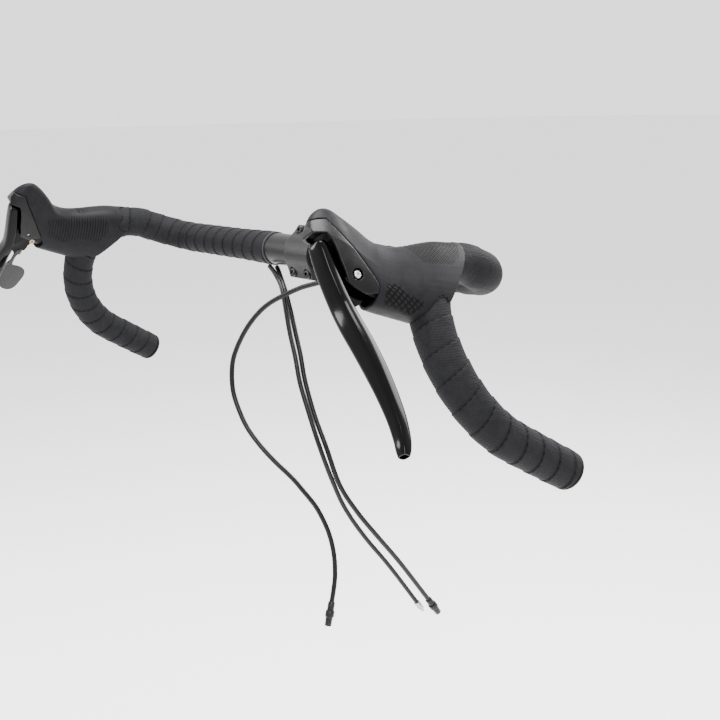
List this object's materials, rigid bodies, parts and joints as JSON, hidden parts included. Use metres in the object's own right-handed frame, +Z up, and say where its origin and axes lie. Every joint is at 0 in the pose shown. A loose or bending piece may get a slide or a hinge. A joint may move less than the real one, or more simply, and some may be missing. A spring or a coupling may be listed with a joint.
{
  "type": "drop handlebar",
  "caption": "Flared drop handlebar with a short stem, wrapped tape, hydraulic brake levers in rubber hoods, a shift paddle and its hoses.",
  "frame": {"origin": "on the steerer's axis, at the bottom of the stem's steerer clamp", "axes": "+X to the rider's left, -Y forward, +Z up, as the bar sits on a bicycle"},
  "size_m": [0.7456, 0.3123, 0.4562],
  "materials": {
    "bar_alloy": "satin black anodised aluminium",
    "stem_alloy": "satin black painted aluminium",
    "bolt_steel": "black oxide steel",
    "bright_steel": "bright machined steel",
    "bronze": "dull bronze screw",
    "tape": "cork-filled foam tape with fine embossed dimples",
    "finishing_rubber": "soft rubber",
    "hood_rubber": "matte moulded rubber with fine ribs and a hatched patch",
    "grey_plastic": "dark grey moulded plastic",
    "black_plastic": "black moulded plastic",
    "paddle_plastic": "dark grey satin",
    "blade_gloss": "gloss black paint",
    "hose": "satin black hose jacket"
  },
  "bodies": {
    "bar": {"handlebar_tube": "bar_alloy", "stem_faceplate": "stem_alloy", "stem_body": "stem_alloy", "faceplate_bolt_upper_left": "bolt_steel", "faceplate_bolt_upper_right": "bolt_steel", "faceplate_bolt_lower_left": "bolt_steel", "faceplate_bolt_lower_right": "bolt_steel", "steerer_bolt_lower": "bolt_steel", "steerer_bolt_upper": "bolt_steel", "bar_tape_left": "tape", "finishing_tape_left": "finishing_rubber", "bar_end_plug_left": "black_plastic", "hood_left": "hood_rubber", "front_cover_left": "grey_plastic", "lever_body_left": "black_plastic", "pivot_pin_left": "bright_steel", "return_spring_left": "bright_steel", "piston_spring_left": "bright_steel", "reservoir_diaphragm_left": "finishing_rubber", "reservoir_cap_left": "black_plastic", "bleed_screw_left": "bright_steel", "clamp_band_left": "bolt_steel", "clamp_bolt_left": "bolt_steel", "hose_nut_left": "bolt_steel", "set_screw_left": "bronze", "bar_tape_right": "tape", "finishing_tape_right": "finishing_rubber", "bar_end_plug_right": "black_plastic", "hood_right": "hood_rubber", "front_cover_right": "grey_plastic", "lever_body_right": "black_plastic", "pivot_pin_right": "bright_steel", "return_spring_right": "bright_steel", "piston_spring_right": "bright_steel", "reservoir_diaphragm_right": "finishing_rubber", "reservoir_cap_right": "black_plastic", "bleed_screw_right": "bright_steel", "clamp_band_right": "bolt_steel", "clamp_bolt_right": "bolt_steel", "hose_nut_right": "bolt_steel", "set_screw_right": "bronze", "drum_axle": "bright_steel", "front_brake_hose": "hose", "rear_brake_hose": "hose", "shift_housing": "hose", "front_hose_fitting": "bolt_steel", "rear_hose_fitting": "bolt_steel", "housing_ferrule": "bright_steel"},
    "left_brake": {"brake_lever_left": "blade_gloss"},
    "right_brake": {"brake_lever_right": "blade_gloss", "paddle_pin": "bright_steel"},
    "left_piston": {"master_piston_left": "bright_steel"},
    "right_piston": {"master_piston_right": "bright_steel"},
    "paddle": {"shift_paddle": "paddle_plastic"},
    "drum": {"cable_drum": "bolt_steel"}
  },
  "joints": [
    {"name": "left_brake_pull", "type": "hinge", "parent": "bar", "child": "left_brake", "pos_m": [0.27623, -0.22545, 0.05258], "axis": [0.8755, 0.0906, 0.4747], "range_deg": [0, 16], "stiffness_Nm_per_rad": 1.5, "springref_deg": -6.88},
    {"name": "left_piston_slide", "type": "slide", "parent": "bar", "child": "left_piston", "axis": [-0.4542, -0.1815, 0.8722], "range_m": [0, 0.003]},
    {"name": "right_brake_pull", "type": "hinge", "parent": "bar", "child": "right_brake", "pos_m": [-0.27623, -0.22545, 0.05258], "axis": [0.8755, -0.0906, -0.4747], "range_deg": [0, 16], "stiffness_Nm_per_rad": 1.5, "springref_deg": -6.88},
    {"name": "right_piston_slide", "type": "slide", "parent": "bar", "child": "right_piston", "axis": [0.4542, -0.1815, 0.8722], "range_m": [0, 0.003]},
    {"name": "paddle_swing", "type": "hinge", "parent": "right_brake", "child": "paddle", "pos_m": [-0.287, -0.22832, 0.03116], "axis": [-0.4772, -0.3178, -0.8193], "range_deg": [0, 20], "stiffness_Nm_per_rad": 0.15, "springref_deg": -8.59},
    {"name": "drum_turn", "type": "hinge", "parent": "bar", "child": "drum", "pos_m": [-0.27755, -0.19052, 0.04346], "axis": [0.8755, -0.0906, -0.4747], "range_deg": [0, 26]}
  ],
  "couplings": [
    {"joint": "left_piston_slide", "follows": "left_brake_pull", "m_per_rad": 0.009},
    {"joint": "right_piston_slide", "follows": "right_brake_pull", "m_per_rad": 0.009},
    {"joint": "drum_turn", "follows": "paddle_swing", "ratio": 1.286}
  ]
}
